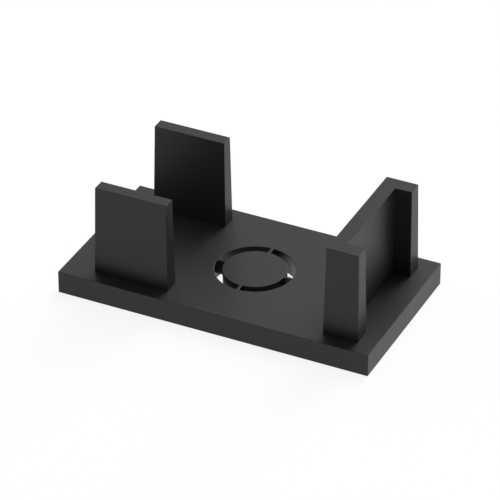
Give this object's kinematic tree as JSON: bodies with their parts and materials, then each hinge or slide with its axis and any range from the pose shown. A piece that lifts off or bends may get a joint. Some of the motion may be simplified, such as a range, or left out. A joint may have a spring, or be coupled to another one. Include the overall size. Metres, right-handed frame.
{
  "type": "profile end cap",
  "caption": "Moulded end cap for an extruded profile: a flat cover plate with drafted plug-in tongues and a round knock-out blank for a cable.",
  "frame": {"origin": "middle of the cover plate's outer face, on which the cap rests", "axes": "+X along the plate towards the channel tongue, +Y across it, +Z the way the tongues point into the profile"},
  "size_m": [0.0414, 0.022, 0.015],
  "materials": {
    "black_plastic": "fine satin texture, as moulded"
  },
  "bodies": {
    "root": {"end_cap": "black_plastic"}
  },
  "joints": []
}
